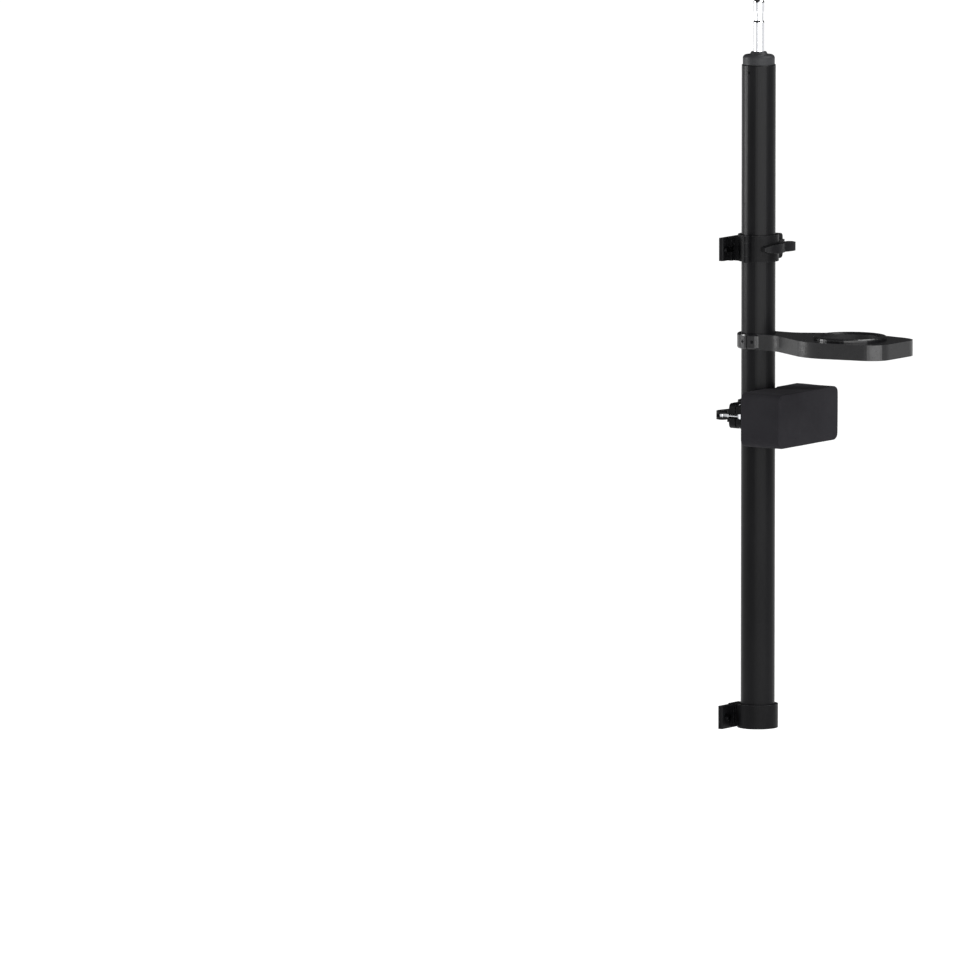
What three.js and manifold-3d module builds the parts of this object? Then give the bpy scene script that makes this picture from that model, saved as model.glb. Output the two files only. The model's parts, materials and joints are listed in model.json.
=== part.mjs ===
// Accessory mast for an equipment cart: a 50 mm tube that stands in a foot socket and is
// held by a quick-release clamp, with a stud on top, a cup tray and a padded rest block.
// Millimetres. +Z up. +Y points at the cart, so the mast's front faces -Y.
// The origin is on the foot bracket's back face, where it meets the cart, level with the
// middle of its socket.

import * as THREE from "three";
import { mergeVertices } from "three/addons/utils/BufferGeometryUtils.js";
import Module from "manifold-3d";

const wasm = await Module();
wasm.setup();

// ---------------------------------------------------------------- driving dimensions
const GAP = 0.3; // between pieces that touch
const FINE = 48; // sides of a large round
const MEDIUM = 20; // sides of a small round

const AXIS_Y = -44; // tube axis, in front of the cart's face
const TUBE_R = 25;
const TUBE_WALL = 2.5;
const TUBE_TOP = 959.4;
const LINER_IN = TUBE_R + GAP;
const LINER_OUT = 26.4;
const BORE_R = LINER_OUT + GAP;
const COLLAR_R = 30;

const PLATE = { halfW: 40, halfH: 16.9, thick: 8, corner: 2.5, drop: 2.5 };
const FOOT_SCREW = { x: 29, shankR: 3, headR: 5, headH: 6, hexR: 2.9, hexDepth: 3.2, grip: -0.5 };
const CLAMP_SCREW = {
  x: 33.5, shankR: 2.5, headR: 4.2, headH: 4.6,
  hexR: 2.3, hexDepth: 2.6, grip: -0.5,
};

const FOOT = { halfH: 17.5, floor: 4, rootHalfW: 16.5, rootY: 31, neckHalfW: 13, padH: 2.5, drainR: 4 };

const CLAMP = {
  halfH: 19.5,
  rootHalfW: 27,
  rootY: 29,
  neckHalfW: 21.5,
  windowHalfH: 4.2,
  hingeX: -34,
  barrelR: 5.5,
  knuckle: 9.4,
  pinR: 2.3,
  earHalfH: 18.5,
  earCorner: 9,
  earThick: 8,
  earBack: 4,
  earGap: 2,
  earTip: 6,
  slotHalf: 3.6,
  wearThick: 2.7,
  splitDrop: 5,
};
const CAM = {
  cheek: 6.6,
  band: 4.8,
  fork: 2.5,
  high: 10.8,
  low: 8.9,
  sweep: 120,
  bladeIn: 33.5,
  bladeOut: 39.3,
  bladeStart: -60,
  bladeEnd: -133,
};
const UPPER = { name: "clamp", z: 690.6, boltX: 40, jawEar: 8, plateY: 36, plateThick: 8, plateZ: -2.5 };
const LOWER = { name: "rest", z: 446, boltX: 48, jawEar: 11, plateY: 36, plateThick: 6, plateZ: 0 };
for (const spec of [UPPER, LOWER]) {
  spec.earFace = CLAMP.earBack + CLAMP.earGap + spec.jawEar;
  spec.wearFace = spec.earFace + GAP + CLAMP.wearThick;
  spec.camY = spec.wearFace + 0.4 + CAM.high;
}

const CAP = { stemR: 22.2, stemZ: 936, r: 23.5, h: 14.3, edge: 5, bossR: 13.5, bossTopR: 11, bossH: 4.3 };
const CAP_SCREW = { z: 948.6, r: 1.9, length: 8 };
const STUD = { r: 8, waistR: 6.7, base: CAP.h + CAP.bossH + GAP, body: 42.4, length: 75.7, tapR: 4 };

const TRAY = { z: 554, thick: 23, cupY: 160, cupR: 46.3 };
const COLLAR = {
  radius: 31.2,
  halfH: 11.5,
  edge: 2.8,
  screw: { angle: 15, headR: 2.2, shankR: 1.4, seat: 29.2, top: 30.6, tip: 25.6, hexR: 1.1, hexDepth: 1 },
};
const CUP = { flangeR: 53.5, flangeH: 4.6, sleeveR: 46, inR: 43, linerR: 41, lipR: 36, lipH: 2 };

const BLOCK = {
  halfW: 80.5, halfH: 39.8, back: 21, front: 88.5,
  z: 445.4, round: 12, rim: 2.5,
  pocketHalfW: 42, pocketHalfH: 31, grooveR: 27,
};
const BACKING = { halfW: 38, halfH: 30, thick: 3 };
const REST_SCREW = { x: 32, z: 10, shankR: 2.5, headR: 4.2, headH: 4, hexR: 2.3, hexDepth: 2.4 };

// ---------------------------------------------------------------- materials
function paint(color, roughness, metalness) {
  return new THREE.MeshStandardMaterial({ color, roughness, metalness });
}
const M = {
  tube: paint(0x161617, 0.45, 0.6),
  casting: paint(0x131314, 0.5, 0.5),
  plastic: paint(0x1c1c1e, 0.6, 0.0),
  cap: paint(0x3a3b3d, 0.65, 0.0),
  chrome: paint(0xd9dbde, 0.12, 1.0),
  steel: paint(0xb9bcc0, 0.3, 1.0),
  blackSteel: paint(0x0e0e0f, 0.4, 0.8),
  rubber: paint(0x101011, 0.85, 0.0),
  foam: paint(0x232224, 0.9, 0.0),
};

// ---------------------------------------------------------------- solid helpers
function solid(geometry) {
  const bare = geometry.clone();
  bare.deleteAttribute("normal");
  bare.deleteAttribute("uv");
  const merged = mergeVertices(bare, 1e-4);
  const vertProperties = new Float32Array(merged.attributes.position.array);
  const triVerts = new Uint32Array(merged.index.array);
  return new wasm.Manifold(new wasm.Mesh({ numProp: 3, vertProperties, triVerts }));
}

function geometryOf(body) {
  const out = body.getMesh();
  const geometry = new THREE.BufferGeometry();
  geometry.setAttribute("position", new THREE.BufferAttribute(new Float32Array(out.vertProperties), 3));
  geometry.setIndex(new THREE.BufferAttribute(new Uint32Array(out.triVerts), 1));
  geometry.computeVertexNormals();
  return geometry;
}

function box(x0, x1, y0, y1, z0, z1) {
  const g = new THREE.BoxGeometry(x1 - x0, y1 - y0, z1 - z0);
  return solid(g.translate((x0 + x1) / 2, (y0 + y1) / 2, (z0 + z1) / 2));
}

// A round bar along "x", "y" or "z", from a to b, centred on the other two coordinates.
function bar(axis, r, a, b, u = 0, v = 0, sides = MEDIUM) {
  const g = new THREE.CylinderGeometry(r, r, b - a, sides);
  const middle = (a + b) / 2;
  if (axis === "x") g.rotateZ(-Math.PI / 2).translate(middle, u, v);
  if (axis === "y") g.translate(u, middle, v);
  if (axis === "z") g.rotateX(Math.PI / 2).translate(u, v, middle);
  return solid(g);
}

// An outline in the XY plane, raised from z0 to z1.
function slab(shape, z0, z1, curveSegments = 10) {
  const g = new THREE.ExtrudeGeometry(shape, { depth: z1 - z0, bevelEnabled: false, curveSegments });
  return solid(g.translate(0, 0, z0));
}

// An outline in the XZ plane, extended from y0 to y1.
function slabY(shape, y0, y1, curveSegments = 8) {
  const g = new THREE.ExtrudeGeometry(shape, { depth: y1 - y0, bevelEnabled: false, curveSegments });
  return solid(g.rotateX(Math.PI / 2).translate(0, y1, 0));
}

// A turned solid: [radius, z] pairs, from axis to axis or closed on themselves.
function turned(profile, sides = FINE) {
  const points = profile.map(([r, z]) => new THREE.Vector2(r, z));
  return solid(new THREE.LatheGeometry(points, sides).rotateX(Math.PI / 2));
}

function ring(rOut, rIn, z0, z1, sides = FINE) {
  return turned([[rIn, z0], [rOut, z0], [rOut, z1], [rIn, z1], [rIn, z0]], sides);
}

function polygon(points) {
  return new THREE.Shape(points.map(([x, y]) => new THREE.Vector2(x, y)));
}

function roundedRect(x0, x1, y0, y1, r) {
  const s = new THREE.Shape();
  s.moveTo(x0 + r, y0);
  s.lineTo(x1 - r, y0);
  s.absarc(x1 - r, y0 + r, r, -Math.PI / 2, 0, false);
  s.lineTo(x1, y1 - r);
  s.absarc(x1 - r, y1 - r, r, 0, Math.PI / 2, false);
  s.lineTo(x0 + r, y1);
  s.absarc(x0 + r, y1 - r, r, Math.PI / 2, Math.PI, false);
  s.lineTo(x0, y0 + r);
  s.absarc(x0 + r, y0 + r, r, Math.PI, 1.5 * Math.PI, false);
  return s;
}

function cutAll(body, tools) {
  return tools.reduce((rest, tool) => rest.subtract(tool), body);
}

function joinAll(bodies) {
  return bodies.reduce((sum, body) => sum.add(body));
}

function place(parent, name, body, material) {
  const mesh = new THREE.Mesh(geometryOf(body), material);
  mesh.name = name;
  parent.add(mesh);
  return mesh;
}

// A socket-head screw along Y: its head stands on the plane y, its shank runs towards +Y.
function socketScrew(spec, x, y, z, length) {
  const head = bar("y", spec.headR, y - spec.headH, y - GAP, x, z);
  const shank = bar("y", spec.shankR, y - GAP - 1, y + length, x, z, 20);
  const socket = bar("y", spec.hexR, y - spec.headH - 1, y - spec.headH + spec.hexDepth, x, z, 6);
  return head.add(shank).subtract(socket);
}

// ---------------------------------------------------------------- foot bracket
function addFoot(parent) {
  const h = FOOT.halfH;
  const floorTop = -h + FOOT.floor;
  const low = -PLATE.drop - PLATE.halfH;
  const high = -PLATE.drop + PLATE.halfH;
  const plate = slab(roundedRect(-PLATE.halfW, PLATE.halfW, -PLATE.thick, 0, PLATE.corner), low, high);
  const root = box(-FOOT.rootHalfW, FOOT.rootHalfW, AXIS_Y + FOOT.rootY, -1, -h, high);
  const neck = box(-FOOT.neckHalfW, FOOT.neckHalfW, AXIS_Y + 15, -1, -h + 0.5, high + 1.5);
  const cup = bar("z", COLLAR_R, -h, h, 0, AXIS_Y, FINE);
  const tools = [
    bar("z", BORE_R, floorTop, h + 1, 0, AXIS_Y, FINE),
    bar("z", FOOT.drainR, -h - 1, h, 0, AXIS_Y),
  ];
  for (const side of [-1, 1]) {
    const x = side * FOOT_SCREW.x;
    tools.push(bar("y", FOOT_SCREW.shankR + GAP, -PLATE.thick - 1, 1, x, -PLATE.drop));
  }
  place(parent, "foot_bracket", cutAll(joinAll([plate, root, neck, cup]), tools), M.casting);

  const liner = ring(LINER_OUT, LINER_IN, floorTop + GAP, h - GAP).translate(0, AXIS_Y, 0);
  place(parent, "foot_liner", liner, M.plastic);
  const pad = ring(LINER_IN - GAP, FOOT.drainR + 1, floorTop + GAP, floorTop + GAP + FOOT.padH);
  place(parent, "foot_pad", pad.translate(0, AXIS_Y, 0), M.rubber);
  for (const [side, label] of [[-1, "left"], [1, "right"]]) {
    const length = PLATE.thick + FOOT_SCREW.grip;
    const screw = socketScrew(FOOT_SCREW, side * FOOT_SCREW.x, -PLATE.thick, -PLATE.drop, length);
    place(parent, `foot_screw_${label}`, screw, M.blackSteel);
  }
}

// ---------------------------------------------------------------- quick-release clamp
// Its own frame has the tube on the Z axis, the mounting plate towards +Y, the hinge at -X
// and the swing bolt with its cam lever at +X.

// The line where the two halves part runs from the hinge to just in front of the fixed ear.
function splitRegion(front) {
  const far = 90;
  const slope = -CLAMP.splitDrop / (far / 1.2);
  const edge = (x) => slope * (x - CLAMP.hingeX) + (front ? -0.6 : 0.6);
  const back = front ? -far : far;
  return polygon([[-far, edge(-far)], [far, edge(far)], [far, back], [-far, back]]);
}

function clampEar(spec, y0, y1) {
  const tip = spec.boltX + CLAMP.earTip;
  const h = CLAMP.earHalfH;
  const outline = new THREE.Shape();
  outline.moveTo(20, -h);
  outline.lineTo(tip - CLAMP.earCorner, -h);
  outline.absarc(tip - CLAMP.earCorner, -h + CLAMP.earCorner, CLAMP.earCorner, -Math.PI / 2, 0, false);
  outline.absarc(tip - CLAMP.earCorner, h - CLAMP.earCorner, CLAMP.earCorner, 0, Math.PI / 2, false);
  outline.lineTo(20, h);
  const slot = box(spec.boltX - 4.4, tip + 1, y0 - 1, y1 + 1, -CLAMP.slotHalf, CLAMP.slotHalf);
  return slabY(outline, y0, y1).subtract(slot);
}

// Only what lies within reach of the bolt's pivot is kept beyond it, so the bolt swings free.
function trimToSwing(body, spec, radius) {
  const beyond = box(spec.boltX, spec.boltX + 30, -40, 0, -30, 30);
  return body.subtract(beyond.subtract(bar("z", radius, -31, 31, spec.boltX, 0, 72)));
}

function knuckles(outer) {
  const far = CLAMP.halfH;
  const k = CLAMP.knuckle + (outer ? GAP : 0);
  const at = [CLAMP.hingeX, 0];
  if (!outer) return bar("z", CLAMP.barrelR, -k, k, ...at);
  return bar("z", CLAMP.barrelR, -far, -k, ...at).add(bar("z", CLAMP.barrelR, k, far, ...at));
}

function knuckleRoom(outer) {
  const far = CLAMP.halfH + 1;
  const k = CLAMP.knuckle;
  const r = CLAMP.barrelR + 0.5;
  const at = [CLAMP.hingeX, 0];
  if (outer) return bar("z", r, -far, -k, ...at).add(bar("z", r, k, far, ...at));
  return bar("z", r, -k - GAP, k + GAP, ...at);
}

function clampBracket(spec) {
  const { halfH, rootHalfW, rootY, neckHalfW, windowHalfH } = CLAMP;
  const back = spec.plateY + spec.plateThick;
  const low = spec.plateZ - PLATE.halfH;
  const high = spec.plateZ + PLATE.halfH;
  const collar = ring(COLLAR_R, BORE_R - 0.5, -halfH, halfH).intersect(
    slab(splitRegion(false), -halfH - 1, halfH + 1),
  );
  const outline = roundedRect(-PLATE.halfW, PLATE.halfW, spec.plateY, back, PLATE.corner);
  const plate = slab(outline, low, high);
  const root = box(-rootHalfW, rootHalfW, rootY, spec.plateY + 1, low, high);
  const neck = box(-neckHalfW, neckHalfW, 12, spec.plateY + 1, low, high);
  const window = box(-60, 60, rootY, spec.plateY, spec.plateZ - windowHalfH, spec.plateZ + windowHalfH);
  const ear = clampEar(spec, -CLAMP.earBack, CLAMP.earThick - CLAMP.earBack);
  const body = joinAll([collar.subtract(knuckleRoom(false)), root, neck, ear, knuckles(true)]);
  return cutAll(body, [
    window,
    bar("z", BORE_R, -40, 40, 0, 0, FINE),
    bar("z", CLAMP.pinR + GAP, -40, 40, CLAMP.hingeX, 0),
    bar("z", CLAMP.pinR, -40, 40, spec.boltX, 0),
  ]).add(plate);
}

function clampJaw(spec) {
  const { halfH } = CLAMP;
  const collar = ring(COLLAR_R, BORE_R - 0.5, -halfH, halfH).intersect(
    slab(splitRegion(true), -halfH - 1, halfH + 1),
  );
  const ear = clampEar(spec, -spec.earFace, -CLAMP.earBack - CLAMP.earGap);
  const trimmed = trimToSwing(ear, spec, spec.earFace);
  const body = joinAll([collar.subtract(knuckleRoom(true)), trimmed, knuckles(false)]);
  return cutAll(body, [
    bar("z", BORE_R, -40, 40, 0, 0, FINE),
    bar("z", CLAMP.pinR + GAP, -40, 40, CLAMP.hingeX, 0),
  ]);
}

function clampLiner(front) {
  const h = CLAMP.halfH - 1;
  return ring(LINER_OUT, LINER_IN, -h, h).intersect(slab(splitRegion(front), -h - 1, h + 1));
}

function wearPlate(spec) {
  const outer = -spec.wearFace;
  const face = outer + CLAMP.wearThick;
  const plate = box(spec.boltX - 9.5, spec.boltX + 5.5, outer, face, -9, 9);
  const slot = box(spec.boltX - 4.4, spec.boltX + 8, outer - 1, face + 1, -CLAMP.slotHalf, CLAMP.slotHalf);
  return trimToSwing(plate.subtract(slot), spec, spec.wearFace);
}

function swingBolt(spec) {
  const eye = bar("z", 3.9, -3.3, 3.3, spec.boltX, 0);
  const rod = bar("y", 3, -spec.camY + 12.4, -2, spec.boltX, 0, 20);
  const tongue = box(spec.boltX - 3, spec.boltX + 3, -spec.camY, -spec.camY + 13, -2.2, 2.2);
  const end = bar("z", 4.2, -2.2, 2.2, spec.boltX, -spec.camY);
  return cutAll(joinAll([eye, rod, tongue, end]), [
    bar("z", CLAMP.pinR, -10, 10, spec.boltX, 0),
    bar("z", CLAMP.pinR, -10, 10, spec.boltX, -spec.camY),
  ]);
}

// The cam is a slow spiral: its radius falls steadily as the lever opens.
function camOutline() {
  const steps = 40;
  const points = [];
  for (let i = 0; i < steps; i++) {
    const angle = 90 - (i * 360) / steps; // degrees, clockwise from the side facing the ears
    const turn = 90 - angle;
    const back = 360 - turn;
    let r = CAM.low;
    if (turn <= CAM.sweep) r = CAM.high - ((CAM.high - CAM.low) * turn) / CAM.sweep;
    else if (back < 60) r = CAM.high - ((CAM.high - CAM.low) * back) / 60;
    points.push([r * Math.cos((angle * Math.PI) / 180), r * Math.sin((angle * Math.PI) / 180)]);
  }
  return polygon(points.reverse());
}

// The blade leaves the cam and follows the collar round to the front.
function bladeOutline(spec) {
  const rad = Math.PI / 180;
  const polar = (r, degrees) => [r * Math.cos(degrees * rad), r * Math.sin(degrees * rad)];
  const start = CAM.bladeStart;
  const end = CAM.bladeEnd;
  const inner = polar(CAM.bladeIn, start);
  const s = new THREE.Shape();
  s.moveTo(spec.boltX + 2, -spec.camY + 2);
  s.lineTo(spec.boltX + 3, -spec.camY - CAM.low + 0.4);
  s.quadraticCurveTo(spec.boltX - 10, -spec.camY - CAM.low - 1.5, ...polar(CAM.bladeOut, start));
  s.absarc(0, 0, CAM.bladeOut, start * rad, end * rad, true);
  s.lineTo(...polar((CAM.bladeIn + CAM.bladeOut) / 2, end - 5));
  s.lineTo(...polar(CAM.bladeIn, end));
  s.absarc(0, 0, CAM.bladeIn, end * rad, start * rad, false);
  s.quadraticCurveTo(inner[0] + 8, inner[1] + 2, spec.boltX - 6, -spec.camY + 4);
  s.closePath();
  return s;
}

// Seen from the front the blade is a leaf: full height at the cam, pointed at its free end.
function leafOutline() {
  const tip = CAM.bladeOut * Math.cos(((CAM.bladeEnd - 5) * Math.PI) / 180) - 0.5;
  const h = CAM.cheek;
  const s = new THREE.Shape();
  s.moveTo(tip, 0);
  s.quadraticCurveTo(tip + 5, h, tip + 30, h);
  s.lineTo(90, h);
  s.lineTo(90, -h);
  s.lineTo(tip + 30, -h);
  s.quadraticCurveTo(tip + 5, -h, tip, 0);
  return s;
}

// The room that the bolt's end sweeps as the lever turns; the head is solid beyond it.
function boltRoom(spec) {
  const half = 3.6;
  const reach = 24;
  const turn = ((90 - CAM.sweep) * Math.PI) / 180;
  const along = [Math.cos(turn), Math.sin(turn)];
  const corner = [half * along[1], -half * along[0]];
  const outline = polygon([
    corner,
    [corner[0] + reach * along[0], corner[1] + reach * along[1]],
    [reach, reach],
    [-half, reach],
    [-half, 0],
  ]);
  const sweep = slab(outline, -CAM.fork, CAM.fork).add(bar("z", 4.7, -CAM.fork, CAM.fork));
  return sweep.translate(spec.boltX, -spec.camY, 0);
}

function camLever(spec) {
  const { cheek, band, high } = CAM;
  const rounded = turned([[0, -cheek], [high - 4.4, -cheek], [high - 1.6, -cheek + 0.8], [high + 0.2, -band],
    [high + 0.2, band], [high - 1.6, cheek - 0.8], [high - 4.4, cheek], [0, cheek]], 36);
  const head = slab(camOutline(), -cheek, cheek).intersect(rounded).translate(spec.boltX, -spec.camY, 0);
  const blade = slab(bladeOutline(spec), -cheek, cheek, 12).intersect(slabY(leafOutline(), -70, 10));
  return cutAll(head.add(blade), [boltRoom(spec), bar("z", CLAMP.pinR, -10, 10, spec.boltX, -spec.camY)]);
}

function addClamp(parent, spec, turn) {
  const frame = new THREE.Group();
  frame.position.set(0, AXIS_Y, spec.z);
  frame.rotation.z = turn;
  parent.add(frame);
  const n = spec.name;
  let bracket = clampBracket(spec);
  const screwXs = [-1, 1];
  if (spec === UPPER) {
    for (const side of screwXs) {
      const hole = bar("y", CLAMP_SCREW.shankR + GAP, 30, 60, side * CLAMP_SCREW.x, spec.plateZ);
      bracket = bracket.subtract(hole);
    }
  } else {
    for (const sx of screwXs) {
      for (const sz of [-1, 1]) {
        const at = [sx * REST_SCREW.x, sz * REST_SCREW.z];
        bracket = bracket.subtract(bar("y", REST_SCREW.shankR + GAP, 30, 60, ...at));
      }
    }
  }
  const h = CLAMP.halfH;
  const pin = CLAMP.pinR - GAP;
  place(frame, `${n}_bracket`, bracket, M.casting);
  place(frame, `${n}_jaw`, clampJaw(spec), M.casting);
  place(frame, `${n}_liner_back`, clampLiner(false), M.plastic);
  place(frame, `${n}_liner_front`, clampLiner(true), M.plastic);
  place(frame, `${n}_hinge_pin`, bar("z", CLAMP.pinR, -h, h, CLAMP.hingeX, 0), M.steel);
  place(frame, `${n}_bolt_pin`, bar("z", pin, -17.5, 17.5, spec.boltX, 0), M.steel);
  place(frame, `${n}_swing_bolt`, swingBolt(spec), M.steel);
  place(frame, `${n}_cam_pin`, bar("z", pin, -CAM.cheek, CAM.cheek, spec.boltX, -spec.camY), M.steel);
  place(frame, `${n}_cam_lever`, camLever(spec), M.blackSteel);
  place(frame, `${n}_wear_plate`, wearPlate(spec), M.plastic);
}

function addUpperScrews(parent) {
  for (const [side, label] of [[-1, "left"], [1, "right"]]) {
    const length = UPPER.plateThick + CLAMP_SCREW.grip;
    const screw = socketScrew(CLAMP_SCREW, side * CLAMP_SCREW.x, -UPPER.plateThick, UPPER.plateZ, length);
    place(parent, `clamp_screw_${label}`, screw.translate(0, 0, UPPER.z), M.blackSteel);
  }
}

// ---------------------------------------------------------------- tube, cap and stud
function addMast(parent) {
  const bottom = -FOOT.halfH + FOOT.floor + FOOT.padH + 2 * GAP;
  const frame = new THREE.Group();
  frame.position.set(0, AXIS_Y, 0);
  parent.add(frame);

  const bore = TUBE_R - TUBE_WALL;
  const chamfer = 0.8;
  const tube = turned([
    [bore, bottom], [TUBE_R - chamfer, bottom], [TUBE_R, bottom + chamfer],
    [TUBE_R, TUBE_TOP - chamfer], [TUBE_R - chamfer, TUBE_TOP], [bore, TUBE_TOP], [bore, bottom],
  ]);
  const holes = bar("x", CAP_SCREW.r + GAP, -40, 40, 0, CAP_SCREW.z);
  place(frame, "mast_tube", tube.subtract(holes), M.tube);
  place(frame, "mast_foot_plug", ring(CAP.stemR, 6, bottom + 0.5, bottom + 22), M.plastic);

  const top = TUBE_TOP + GAP;
  const rim = 5;
  const profile = [[0, CAP.stemZ], [CAP.stemR, CAP.stemZ], [CAP.stemR, top], [CAP.r, top]];
  for (let i = 0; i <= rim; i++) {
    const a = (i / rim) * (Math.PI / 2);
    profile.push([CAP.r - CAP.edge * (1 - Math.cos(a)), top + CAP.h - CAP.edge * (1 - Math.sin(a))]);
  }
  const bossTop = top + CAP.h + CAP.bossH;
  profile.push([CAP.bossR, top + CAP.h], [CAP.bossTopR, bossTop], [0, bossTop]);
  const cap = cutAll(turned(profile), [
    holes,
    bar("z", STUD.tapR + GAP, CAP.stemZ - 1, top + 40),
    bar("z", 9, CAP.stemZ - 1, CAP.stemZ + 14),
  ]);
  place(frame, "mast_cap", cap, M.cap);
  for (const [side, label] of [[-1, "left"], [1, "right"]]) {
    const outer = side * (TUBE_R - 0.6);
    const inner = side * (TUBE_R - 0.6 - CAP_SCREW.length);
    const body = bar("x", CAP_SCREW.r, Math.min(outer, inner), Math.max(outer, inner), 0, CAP_SCREW.z, 18);
    const a = side * (TUBE_R - 2.6);
    const socket = bar("x", 1.1, Math.min(a, side * 26), Math.max(a, side * 26), 0, CAP_SCREW.z, 6);
    place(frame, `cap_screw_${label}`, body.subtract(socket), M.blackSteel);
  }

  const base = TUBE_TOP + STUD.base + GAP;
  const tip = base + STUD.length;
  const shoulder = base + STUD.body;
  const stud = [
    [0, base + 24], [STUD.tapR, base + 22], [STUD.tapR, base], [STUD.r, base],
    [STUD.r, shoulder], [STUD.waistR, shoulder + 3], [STUD.waistR, shoulder + 14],
    [STUD.r, shoulder + 16.5], [STUD.r, tip - 4],
  ];
  for (let i = 1; i <= 4; i++) {
    const a = (i / 4) * (Math.PI / 2);
    stud.push([STUD.r - 4 * (1 - Math.cos(a)), tip - 4 + 4 * Math.sin(a)]);
  }
  stud.push([0, tip]);
  place(frame, "stud", turned(stud, 40), M.chrome);
  const boltTop = base + 20;
  const headTop = CAP.stemZ + 14 - GAP;
  const bolt = bar("z", 6.5, headTop - 6, headTop, 0, 0, 6)
    .add(bar("z", STUD.tapR - GAP, headTop - 1, boltTop, 0, 0, 20));
  place(frame, "stud_bolt", bolt, M.steel);
}

// ---------------------------------------------------------------- cup tray
// Drawn with the tray pointing along -Y from the tube.
function trayOutline() {
  const side = new THREE.Path();
  side.moveTo(26, -8);
  side.lineTo(26, -36);
  side.quadraticCurveTo(26, -48, 32, -58);
  side.lineTo(62, -108);
  side.quadraticCurveTo(72.5, -128, 70.5, -154);
  side.lineTo(60.5, -205);
  side.quadraticCurveTo(56, -245, 27, -245);
  const right = side.getPoints(14);
  const left = right.map((p) => new THREE.Vector2(-p.x, p.y)).reverse();
  return new THREE.Shape([...right, ...left]);
}

// The collar is in two halves, front and back, each screwed to the sleeve inside it.
function trayCollar() {
  const r = COLLAR.radius;
  const h = COLLAR.halfH;
  const e = COLLAR.edge;
  return turned([
    [BORE_R, -h], [r - e, -h], [r - e * 0.3, -h + e * 0.3], [r, -h + e],
    [r, h - e], [r - e * 0.3, h - e * 0.3], [r - e, h], [BORE_R, h], [BORE_R, -h],
  ]);
}

// A radial screw of the collar: a solid a little larger than the screw is its hole.
function collarScrew(side, angle, extra) {
  const s = COLLAR.screw;
  const past = extra > 0 ? 2 : 0;
  const head = bar("x", s.headR + extra, s.seat - extra, s.top + past);
  const shank = bar("x", s.shankR + extra, s.tip - past, s.seat + 1);
  return head.add(shank).rotate([0, 0, side > 0 ? angle : 180 - angle]);
}

function addTray(parent) {
  const frame = new THREE.Group();
  frame.position.set(0, AXIS_Y, TRAY.z);
  parent.add(frame);
  const h = TRAY.thick / 2;
  const centre = [0, -TRAY.cupY];
  let sleeve = ring(LINER_OUT, LINER_IN, -COLLAR.halfH + 1, COLLAR.halfH - 1);
  const gaps = { front: box(-90, 90, -300, -0.7, -20, 20), back: box(-90, 90, 0.7, 60, -20, 20) };
  const arm = slab(trayOutline(), -h, h, 12).subtract(bar("z", BORE_R, -20, 20, 0, 0, FINE));
  let front = trayCollar().add(arm).intersect(gaps.front);
  front = front.subtract(bar("z", TRAY.cupR, -20, 20, ...centre, FINE));
  let back = trayCollar().intersect(gaps.back);
  for (const [side, label] of [[-1, "left"], [1, "right"]]) {
    for (const [angle, row] of [[-COLLAR.screw.angle, "front"], [COLLAR.screw.angle, "back"]]) {
      const hole = collarScrew(side, angle, GAP);
      front = front.subtract(hole);
      back = back.subtract(hole);
      sleeve = sleeve.subtract(hole);
      const s = COLLAR.screw;
      const socket = bar("x", s.hexR, s.top - s.hexDepth, s.top + 1, 0, 0, 6);
      const turnedSocket = socket.rotate([0, 0, side > 0 ? angle : 180 - angle]);
      const screw = collarScrew(side, angle, 0).subtract(turnedSocket);
      place(frame, `tray_screw_${label}_${row}`, screw, M.blackSteel);
    }
  }
  place(frame, "tray_arm", front, M.casting);
  place(frame, "tray_band", back, M.casting);
  place(frame, "tray_sleeve", sleeve, M.blackSteel);

  const sleeveBottom = -h + 2;
  const flangeBottom = h + GAP;
  const flangeTop = flangeBottom + CUP.flangeH;
  const edge = 1.5;
  const cupRing = turned([
    [CUP.inR, sleeveBottom], [CUP.sleeveR, sleeveBottom], [CUP.sleeveR, flangeBottom],
    [CUP.flangeR, flangeBottom], [CUP.flangeR, flangeTop - edge], [CUP.flangeR - edge, flangeTop],
    [CUP.inR + 3, flangeTop], [CUP.inR, flangeTop - 2.5], [CUP.inR, sleeveBottom],
  ]);
  place(frame, "cup_ring", cupRing.translate(...centre, 0), M.casting);
  const linerTop = flangeTop - 3;
  const cupLiner = turned([
    [CUP.lipR, -h + 0.5], [CUP.inR - GAP, -h + 0.5], [CUP.inR - GAP, linerTop], [CUP.linerR, linerTop],
    [CUP.linerR, -h + 0.5 + CUP.lipH], [CUP.lipR, -h + 0.5 + CUP.lipH], [CUP.lipR, -h + 0.5],
  ]);
  place(frame, "cup_liner", cupLiner.translate(...centre, 0), M.rubber);
}

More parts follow.
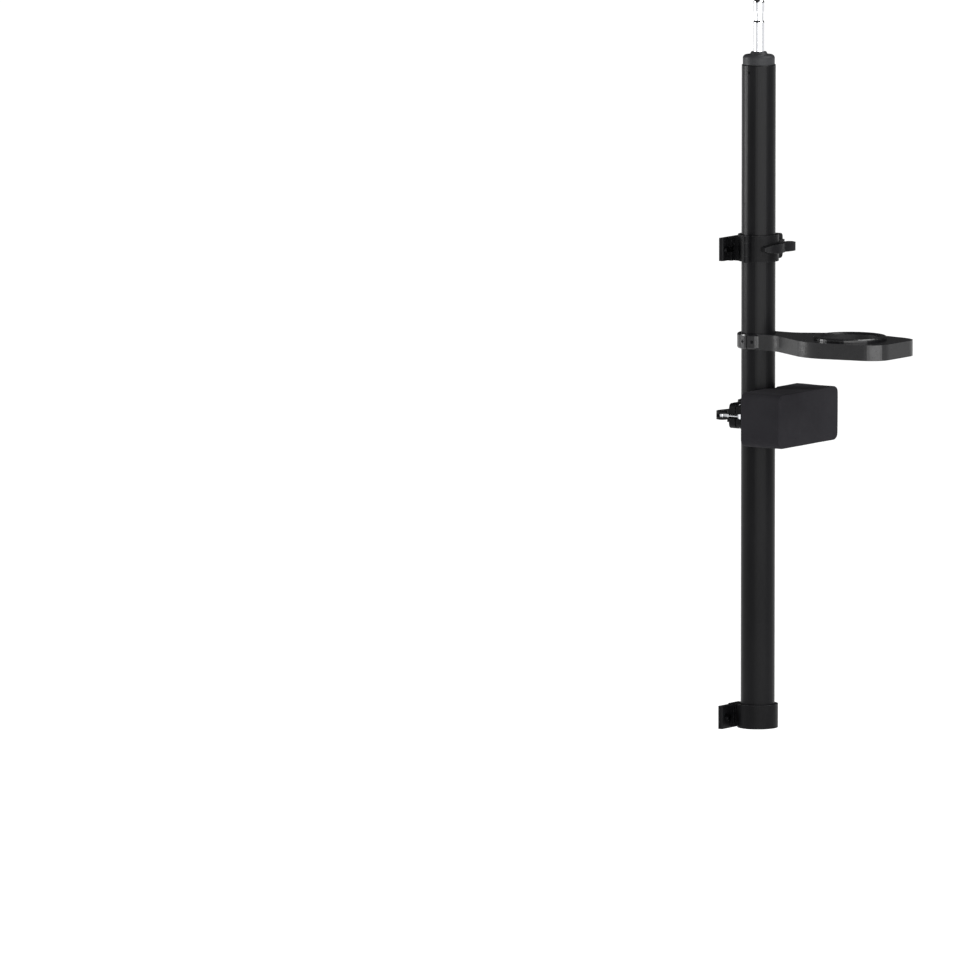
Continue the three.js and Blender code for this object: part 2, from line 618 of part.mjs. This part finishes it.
// ---------------------------------------------------------------- rest block
function addRestBlock(parent) {
  const frame = new THREE.Group();
  frame.position.set(0, AXIS_Y, BLOCK.z);
  parent.add(frame);
  const plateFront = LOWER.plateY + LOWER.plateThick + GAP;
  const backingFront = plateFront + BACKING.thick;
  const b = BLOCK;
  const outline = slab(roundedRect(-b.halfW, b.halfW, -b.front, -b.back, b.rim), -b.halfH, b.halfH, 5);
  const face = roundedRect(-b.halfW, b.halfW, -b.halfH, b.halfH, b.round);
  const side = slabY(face, -b.front - 1, -b.back + 1, 5);
  const pocket = box(-b.pocketHalfW, b.pocketHalfW, -backingFront - GAP, 0, -b.pocketHalfH, b.pocketHalfH);
  const hollow = pocket.add(bar("z", b.grooveR, -60, 60, 0, 0, FINE));
  place(frame, "rest_pad", outline.intersect(side).subtract(hollow), M.foam);

  let plate = box(-BACKING.halfW, BACKING.halfW, -backingFront, -plateFront, -BACKING.halfH, BACKING.halfH);
  const screws = [];
  for (const [sx, column] of [[-1, "left"], [1, "right"]]) {
    for (const [sz, row] of [[-1, "low"], [1, "high"]]) {
      const x = sx * REST_SCREW.x;
      const z = sz * REST_SCREW.z + LOWER.z - BLOCK.z;
      plate = plate.subtract(bar("y", REST_SCREW.shankR + GAP, -60, 0, x, z));
      const length = LOWER.plateThick + BACKING.thick;
      const screw = socketScrew(REST_SCREW, x, LOWER.plateY, z, length).rotate([0, 0, 180]);
      screws.push([`rest_screw_${column}_${row}`, screw]);
    }
  }
  place(frame, "rest_backing", plate, M.steel);
  for (const [name, body] of screws) place(frame, name, body, M.blackSteel);
}

// ---------------------------------------------------------------- assembly
const group = new THREE.Group();
addFoot(group);
addClamp(group, UPPER, 0);
addUpperScrews(group);
addMast(group);
addTray(group);
addClamp(group, LOWER, Math.PI);
addRestBlock(group);

export default group;
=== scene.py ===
"""Looks of the accessory mast: materials, the foam rest block, light, floor and camera."""

import json
import math

import bmesh
import bpy
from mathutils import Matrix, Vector, noise


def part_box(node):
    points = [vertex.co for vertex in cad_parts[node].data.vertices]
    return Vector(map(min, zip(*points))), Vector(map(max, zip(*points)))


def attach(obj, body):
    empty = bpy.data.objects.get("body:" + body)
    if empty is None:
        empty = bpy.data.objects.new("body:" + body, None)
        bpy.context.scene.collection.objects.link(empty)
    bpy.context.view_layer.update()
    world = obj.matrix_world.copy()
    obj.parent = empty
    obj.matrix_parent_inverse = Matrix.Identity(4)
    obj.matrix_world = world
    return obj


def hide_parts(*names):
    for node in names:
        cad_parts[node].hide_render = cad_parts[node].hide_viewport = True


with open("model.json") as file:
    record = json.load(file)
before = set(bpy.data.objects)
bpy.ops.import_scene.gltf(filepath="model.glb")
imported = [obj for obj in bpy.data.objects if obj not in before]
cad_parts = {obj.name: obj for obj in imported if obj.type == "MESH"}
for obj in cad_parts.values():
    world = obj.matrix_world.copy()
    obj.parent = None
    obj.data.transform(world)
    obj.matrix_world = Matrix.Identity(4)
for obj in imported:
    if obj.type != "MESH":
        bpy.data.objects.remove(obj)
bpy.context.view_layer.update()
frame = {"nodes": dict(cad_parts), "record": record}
nodes = frame["nodes"]


# ---------------------------------------------------------------- places, from the frame
def middle(node):
    low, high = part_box(node)
    return (Vector(low) + Vector(high)) / 2


AXIS = middle("mast_tube")
FLOOR_DROP = 0.38  # the cart holds the mast this far above the floor
FLOOR_REACH = 60.0  # from the floor's middle to its edges

BLOCK_VOXEL = 0.0015
BLOCK_CROWN = 0.0006  # the front face's edges lie this far behind its middle
BLOCK_WAVE = 0.00035  # depth of the slow waves in the skin
BLOCK_WAVE_SCALE = 28.0

MAIN_ENERGY = 4.9
MAIN_SPREAD = math.radians(50)
MAIN_TURN = 75
MAIN_ELEVATION = math.radians(50)
SOFTBOX_TILT = 0.35  # share of the full tilt towards the tube's middle
WORLD_STRENGTH = 0.05

CAMERA_AZIMUTH = math.radians(-56.1)
CAMERA_ELEVATION = math.radians(7.0)
CAMERA_DISTANCE = 26.7
CAMERA_LENS = 676.3
AIM = Vector((-0.2232, 0.2880, 0.3400))


# ---------------------------------------------------------------- node helpers
class Shader:
    """A material's node tree with a few short ways to add to it."""

    def __init__(self, name, color, roughness, metallic):
        self.material = bpy.data.materials.new(name)
        self.material.use_nodes = True
        self.tree = self.material.node_tree
        self.bsdf = self.tree.nodes["Principled BSDF"]
        self.bsdf.inputs["Base Color"].default_value = (*color, 1.0)
        self.bsdf.inputs["Roughness"].default_value = roughness
        self.bsdf.inputs["Metallic"].default_value = metallic
        self.place = self.node("ShaderNodeTexCoord").outputs["Object"]
        self.height = None

    def node(self, kind, **settings):
        made = self.tree.nodes.new(kind)
        for key, value in settings.items():
            setattr(made, key, value)
        return made

    def link(self, source, target):
        self.tree.links.new(source, target)

    def stretched(self, scale):
        mapping = self.node("ShaderNodeMapping")
        mapping.inputs["Scale"].default_value = scale
        self.link(self.place, mapping.inputs["Vector"])
        return mapping.outputs["Vector"]

    def noise(self, scale, detail=3.0, roughness=0.55, vector=None):
        made = self.node("ShaderNodeTexNoise")
        made.inputs["Scale"].default_value = scale
        made.inputs["Detail"].default_value = detail
        made.inputs["Roughness"].default_value = roughness
        self.link(vector or self.place, made.inputs["Vector"])
        return made.outputs["Fac"]

    def cells(self, scale, vector=None):
        made = self.node("ShaderNodeTexVoronoi")
        made.inputs["Scale"].default_value = scale
        self.link(vector or self.place, made.inputs["Vector"])
        return made.outputs["Distance"]

    def remap(self, value, low, high, to_low, to_high):
        made = self.node("ShaderNodeMapRange")
        for key, number in (
            ("From Min", low),
            ("From Max", high),
            ("To Min", to_low),
            ("To Max", to_high),
        ):
            made.inputs[key].default_value = number
        self.link(value, made.inputs["Value"])
        return made.outputs["Result"]

    def math(self, operation, a, b):
        made = self.node("ShaderNodeMath", operation=operation)
        for socket, value in zip(made.inputs, (a, b)):
            if isinstance(value, (int, float)):
                socket.default_value = value
            else:
                self.link(value, socket)
        return made.outputs["Value"]

    def mix(self, factor, a, b):
        """Between two colours, each a socket or an RGB triple."""
        made = self.node("ShaderNodeMix", data_type="RGBA")
        for socket, value in ((made.inputs[6], a), (made.inputs[7], b)):
            if isinstance(value, tuple):
                socket.default_value = (*value, 1.0)
            else:
                self.link(value, socket)
        self.link(factor, made.inputs[0])
        return made.outputs[2]

    def bump(self, height, strength, distance):
        made = self.node("ShaderNodeBump")
        made.inputs["Strength"].default_value = strength
        made.inputs["Distance"].default_value = distance
        self.link(height, made.inputs["Height"])
        if self.height is not None:
            self.link(self.height, made.inputs["Normal"])
        self.height = made.outputs["Normal"]
        self.link(self.height, self.bsdf.inputs["Normal"])

    def edge_wear(self, reach=0.0012):
        """1 along outside edges and corners, 0 elsewhere, broken up by noise."""
        bevel = self.node("ShaderNodeBevel", samples=4)
        bevel.inputs["Radius"].default_value = reach
        plain = self.node("ShaderNodeNewGeometry")
        dot = self.node("ShaderNodeVectorMath", operation="DOT_PRODUCT")
        self.link(bevel.outputs["Normal"], dot.inputs[0])
        self.link(plain.outputs["Normal"], dot.inputs[1])
        sharp = self.remap(dot.outputs["Value"], 0.995, 0.90, 0.0, 1.0)
        return self.math("MULTIPLY", sharp, self.remap(self.noise(320), 0.42, 0.66, 0.0, 1.0))

    def color(self, socket):
        self.link(socket, self.bsdf.inputs["Base Color"])

    def rough(self, socket):
        self.link(socket, self.bsdf.inputs["Roughness"])


# ---------------------------------------------------------------- materials
def anodised_tube():
    """Satin black anodised aluminium: fine lengthwise drawing lines and a few rubbed bands."""
    s = Shader("anodised_tube", (0.006, 0.006, 0.0066), 0.36, 0.0)
    s.bsdf.inputs["Specular IOR Level"].default_value = 0.075
    lines = s.noise(55, 4.0, 0.6, s.stretched((40, 40, 0.55)))
    mottle = s.noise(9, 5.0, 0.6, s.stretched((1, 1, 0.4)))
    patches = s.remap(mottle, 0.3, 0.7, 0.0, 1.0)
    shade = s.mix(patches, (0.0026, 0.0026, 0.0030), (0.0048, 0.0048, 0.0053))
    rub = s.remap(s.noise(38, 6.0, 0.7, s.stretched((1, 1, 3.0))), 0.66, 0.80, 0.0, 0.35)
    s.color(s.mix(rub, shade, (0.016, 0.016, 0.017)))
    s.rough(s.remap(s.math("ADD", lines, mottle), 0.7, 1.3, 0.27, 0.35))
    s.bump(lines, 0.06, 0.00006)
    s.bump(s.cells(2600), 0.04, 0.00003)
    return s.material


def coated_casting(name, base, worn, low, high, grain=900, specular=0.06):
    """A cast or milled part under a thin black coat: peel, fine grain and worn edges."""
    s = Shader(name, base, (low + high) / 2, 0.0)
    s.bsdf.inputs["Specular IOR Level"].default_value = specular
    patchy = s.noise(60, 5.0, 0.6)
    tone = tuple(c * 1.45 for c in base)
    shade = s.mix(s.remap(patchy, 0.35, 0.7, 0.0, 1.0), base, tone)
    s.color(s.mix(s.math("MULTIPLY", s.edge_wear(), 0.55), shade, worn))
    s.rough(s.remap(s.noise(180, 4.0), 0.3, 0.7, low, high))
    s.bump(s.cells(grain), 0.08, 0.00006)
    s.bump(s.noise(140, 2.0), 0.05, 0.00010)
    return s.material


def plastic(name, base, low, high):
    """Moulded nylon or acetal: spark-eroded texture with faint flow marks."""
    s = Shader(name, base, (low + high) / 2, 0.0)
    s.bsdf.inputs["Specular IOR Level"].default_value = 0.12
    flow = s.noise(30, 3.0, 0.5, s.stretched((1, 1, 2.5)))
    tone = tuple(c * 1.25 for c in base)
    s.color(s.mix(s.remap(flow, 0.35, 0.65, 0.0, 1.0), base, tone))
    s.rough(s.remap(s.noise(240, 3.0), 0.3, 0.7, low, high))
    s.bump(s.noise(1800, 3.0, 0.6), 0.16, 0.00010)
    return s.material


def chrome():
    """Polished chrome plate with hairline wipe marks."""
    s = Shader("chrome_stud", (0.80, 0.81, 0.83), 0.09, 1.0)
    wipe = s.noise(90, 5.0, 0.7, s.stretched((2, 2, 14)))
    s.rough(s.remap(wipe, 0.3, 0.75, 0.06, 0.20))
    haze = s.remap(s.noise(120, 4.0), 0.45, 0.75, 0.0, 0.5)
    s.color(s.mix(haze, (0.66, 0.67, 0.69), (0.50, 0.51, 0.53)))
    s.bump(wipe, 0.03, 0.00003)
    return s.material


def steel(name, base, low, high, along=(1, 1, 12)):
    """Turned or ground steel: fine tool lines, dull spots."""
    s = Shader(name, base, (low + high) / 2, 1.0)
    tool = s.noise(300, 4.0, 0.65, s.stretched(along))
    dull = s.noise(70, 5.0, 0.6)
    darker = tuple(c * 0.68 for c in base)
    s.color(s.mix(s.remap(dull, 0.4, 0.7, 0.0, 1.0), base, darker))
    s.rough(s.remap(s.math("ADD", tool, dull), 0.7, 1.3, low, high))
    s.bump(tool, 0.12, 0.00006)
    return s.material


def rubber(name, base, low, high):
    """Moulded rubber: fine pebble, dusty high spots."""
    s = Shader(name, base, (low + high) / 2, 0.0)
    s.bsdf.inputs["Specular IOR Level"].default_value = 0.20
    dust = s.remap(s.noise(45, 6.0, 0.65), 0.48, 0.72, 0.0, 0.30)
    s.color(s.mix(dust, base, tuple(c * 2.2 + 0.006 for c in base)))
    s.rough(s.remap(s.noise(150, 3.0), 0.3, 0.7, low, high))
    s.bump(s.cells(1300), 0.25, 0.00012)
    return s.material


def foam_skin():
    """Self-skinned foam: matte charcoal with pores, soft leathery grain and scuffs."""
    s = Shader("foam_skin", (0.024, 0.023, 0.027), 0.62, 0.0)
    s.bsdf.inputs["Specular IOR Level"].default_value = 0.02
    s.bsdf.inputs["Sheen Weight"].default_value = 0.015
    s.bsdf.inputs["Sheen Roughness"].default_value = 0.45
    s.bsdf.inputs["Sheen Tint"].default_value = (0.80, 0.78, 0.84, 1.0)
    cloud = s.noise(14, 5.0, 0.55)
    patches = s.remap(cloud, 0.35, 0.68, 0.0, 1.0)
    shade = s.mix(patches, (0.0098, 0.0095, 0.0110), (0.0128, 0.0124, 0.0141))
    scuff = s.remap(s.noise(55, 7.0, 0.7, s.stretched((3, 1, 1))), 0.62, 0.78, 0.0, 0.5)
    s.color(s.mix(scuff, shade, (0.021, 0.0205, 0.023)))
    s.rough(s.remap(s.noise(90, 4.0), 0.3, 0.7, 0.54, 0.70))
    pores = s.remap(s.cells(650), 0.0, 0.35, 0.0, 1.0)
    s.bump(pores, 0.30, 0.00015)
    s.bump(s.noise(260, 4.0, 0.6), 0.30, 0.00030)
    return s.material


MATERIALS = {
    "anodised_tube": anodised_tube(),
    "clamp_coat": coated_casting(
        "clamp_coat", (0.0026, 0.0026, 0.0029), (0.05, 0.05, 0.052), 0.34, 0.46
    ),
    "tray_coat": coated_casting(
        "tray_coat", (0.0034, 0.0034, 0.0038), (0.03, 0.03, 0.032), 0.20, 0.28, 700, 0.34
    ),
    "lever_coat": coated_casting(
        "lever_coat", (0.0040, 0.0040, 0.0044), (0.07, 0.07, 0.072), 0.26, 0.38, 1100
    ),
    "black_plastic": plastic("black_plastic", (0.010, 0.010, 0.0105), 0.42, 0.58),
    "grey_cap": plastic("grey_cap", (0.016, 0.0164, 0.0176), 0.42, 0.55),
    "chrome_stud": chrome(),
    "plain_steel": steel("plain_steel", (0.56, 0.57, 0.59), 0.20, 0.36),
    "sheet_steel": coated_casting(
        "sheet_steel", (0.006, 0.006, 0.0065), (0.06, 0.06, 0.062), 0.40, 0.55
    ),
    "black_steel": steel("black_steel", (0.012, 0.012, 0.013), 0.34, 0.50, (6, 6, 6)),
    "rubber": rubber("rubber", (0.007, 0.007, 0.0075), 0.45, 0.62),
    "foam_skin": foam_skin(),
}


# ---------------------------------------------------------------- CAD nodes
SOFT_ANGLE = math.radians(32)
EDGE_RADIUS = {
    "foot_bracket": 0.0012,
    "clamp_bracket": 0.0011,
    "clamp_jaw": 0.0011,
    "clamp_cam_lever": 0.0009,
    "rest_bracket": 0.0011,
    "rest_jaw": 0.0011,
    "rest_cam_lever": 0.0009,
    "tray_arm": 0.0034,
    "tray_band": 0.0008,
    "cup_ring": 0.0005,
    "rest_backing": 0.0005,
}


def smooth(obj, angle=SOFT_ANGLE):
    for face in obj.data.polygons:
        face.use_smooth = True
    obj.data.set_sharp_from_angle(angle=angle)


def round_edges(obj, radius):
    bevel = obj.modifiers.new("edges", "BEVEL")
    bevel.width = radius
    bevel.segments = 2
    bevel.limit_method = "ANGLE"
    bevel.angle_limit = SOFT_ANGLE
    bevel.harden_normals = True
    bevel.use_clamp_overlap = True


def dress_nodes():
    slots = {part["node"]: part["material_slot"] for part in frame["record"]["subparts"]}
    for name, obj in nodes.items():
        smooth(obj)
        if name in EDGE_RADIUS:
            round_edges(obj, EDGE_RADIUS[name])
        obj.data.materials.clear()
        obj.data.materials.append(MATERIALS[slots[name]])


# ---------------------------------------------------------------- the foam block
def foam_block():
    """The rest's block: the CAD solid, finely meshed, softened and crowned in front."""
    low, high = (Vector(corner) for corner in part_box("rest_pad"))
    size = high - low
    centre = (low + high) / 2
    source = nodes["rest_pad"]
    mesh = source.data.copy()
    mesh.transform(source.matrix_world)
    block = bpy.data.objects.new("rest_foam_block", mesh)
    bpy.context.collection.objects.link(block)
    remesh = block.modifiers.new("remesh", "REMESH")
    remesh.mode = "VOXEL"
    remesh.voxel_size = BLOCK_VOXEL
    soften = block.modifiers.new("soften", "SMOOTH")
    soften.factor = 0.5
    soften.iterations = 1
    graph = bpy.context.evaluated_depsgraph_get()
    shaped = bpy.data.meshes.new_from_object(block.evaluated_get(graph))
    block.modifiers.clear()
    block.data = shaped

    for v in shaped.vertices:
        rel = Vector((v.co[i] - centre[i]) / (size[i] / 2) for i in range(3))
        crown = max(0.0, 1 - rel.x * rel.x) * max(0.0, 1 - rel.z * rel.z)
        wave = noise.noise(v.co * BLOCK_WAVE_SCALE) * BLOCK_WAVE
        if rel.y < -0.9:
            v.co.y -= BLOCK_CROWN * crown - BLOCK_CROWN + wave
        if abs(rel.z) > 0.9:
            v.co.z += wave
    for face in shaped.polygons:
        face.use_smooth = True
    shaped.materials.clear()
    shaped.materials.append(MATERIALS["foam_skin"])
    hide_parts("rest_pad")
    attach(block, "rest")


# ---------------------------------------------------------------- stage
def floor():
    """A wide pale floor, far enough back to fill the camera's view behind the mast."""
    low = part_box("foot_bracket")[0][2] - FLOOR_DROP
    bm = bmesh.new()
    bmesh.ops.create_grid(bm, x_segments=1, y_segments=1, size=FLOOR_REACH)
    mesh = bpy.data.meshes.new("floor")
    bm.to_mesh(mesh)
    bm.free()
    obj = bpy.data.objects.new("floor", mesh)
    obj.location = (AXIS.x, AXIS.y, low)
    bpy.context.collection.objects.link(obj)
    s = Shader("floor", (0.86, 0.86, 0.86), 0.9, 0.0)
    s.color(s.mix(s.noise(1.5), (0.870, 0.870, 0.868), (0.885, 0.885, 0.885)))
    s.bsdf.inputs["Specular IOR Level"].default_value = 0.1
    mesh.materials.append(s.material)


def from_camera(turn):
    """A level direction turned from the camera's, in degrees, to its right for a positive turn."""
    a = CAMERA_AZIMUTH + math.radians(turn)
    return Vector((math.sin(a), -math.cos(a), 0.0))


def softbox(name, turn, distance, height, width, tall, radiance):
    """An upright rectangular softbox that faces the mast."""
    data = bpy.data.lights.new(name, "AREA")
    data.shape = "RECTANGLE"
    data.size = width
    data.size_y = tall
    data.energy = radiance * math.pi * width * tall
    obj = bpy.data.objects.new(name, data)
    obj.location = Vector((AXIS.x, AXIS.y, height)) + from_camera(turn) * distance
    aim = Vector((AXIS.x, AXIS.y, AXIS.z)) - obj.location
    aim.z *= SOFTBOX_TILT
    obj.rotation_euler = aim.to_track_quat("-Z", "Y").to_euler()
    obj.visible_camera = False
    bpy.context.collection.objects.link(obj)


def main_light():
    """The main light: very wide and soft, from high on the right, evening out the floor."""
    data = bpy.data.lights.new("main_light", "SUN")
    data.energy = MAIN_ENERGY
    data.angle = MAIN_SPREAD
    obj = bpy.data.objects.new("main_light", data)
    toward = from_camera(MAIN_TURN) * math.cos(MAIN_ELEVATION) + Vector((0, 0, math.sin(MAIN_ELEVATION)))
    obj.rotation_euler = toward.to_track_quat("Z", "Y").to_euler()
    bpy.context.collection.objects.link(obj)


def lights():
    softbox("key_left", -97, 2.0, 1.10, 0.60, 1.3, 20.0)
    softbox("front", 19, 3.0, 0.90, 4.4, 1.6, 6.2)
    main_light()
    world = bpy.data.worlds.new("studio")
    world.use_nodes = True
    background = world.node_tree.nodes["Background"]
    background.inputs["Color"].default_value = (1.0, 1.0, 1.0, 1.0)
    background.inputs["Strength"].default_value = WORLD_STRENGTH
    bpy.context.scene.world = world


def camera():
    flat = math.cos(CAMERA_ELEVATION)
    back = Vector(
        (
            math.sin(CAMERA_AZIMUTH) * flat,
            -math.cos(CAMERA_AZIMUTH) * flat,
            math.sin(CAMERA_ELEVATION),
        )
    )
    data = bpy.data.cameras.new("camera")
    data.lens = CAMERA_LENS
    data.sensor_width = 36.0
    data.clip_end = 200.0
    obj = bpy.data.objects.new("camera", data)
    obj.location = AIM + back * CAMERA_DISTANCE
    obj.rotation_euler = back.to_track_quat("Z", "Y").to_euler()
    bpy.context.collection.objects.link(obj)
    bpy.context.scene.camera = obj


dress_nodes()
foam_block()
floor()
lights()
camera()
bpy.context.scene.view_settings.view_transform = "Standard"
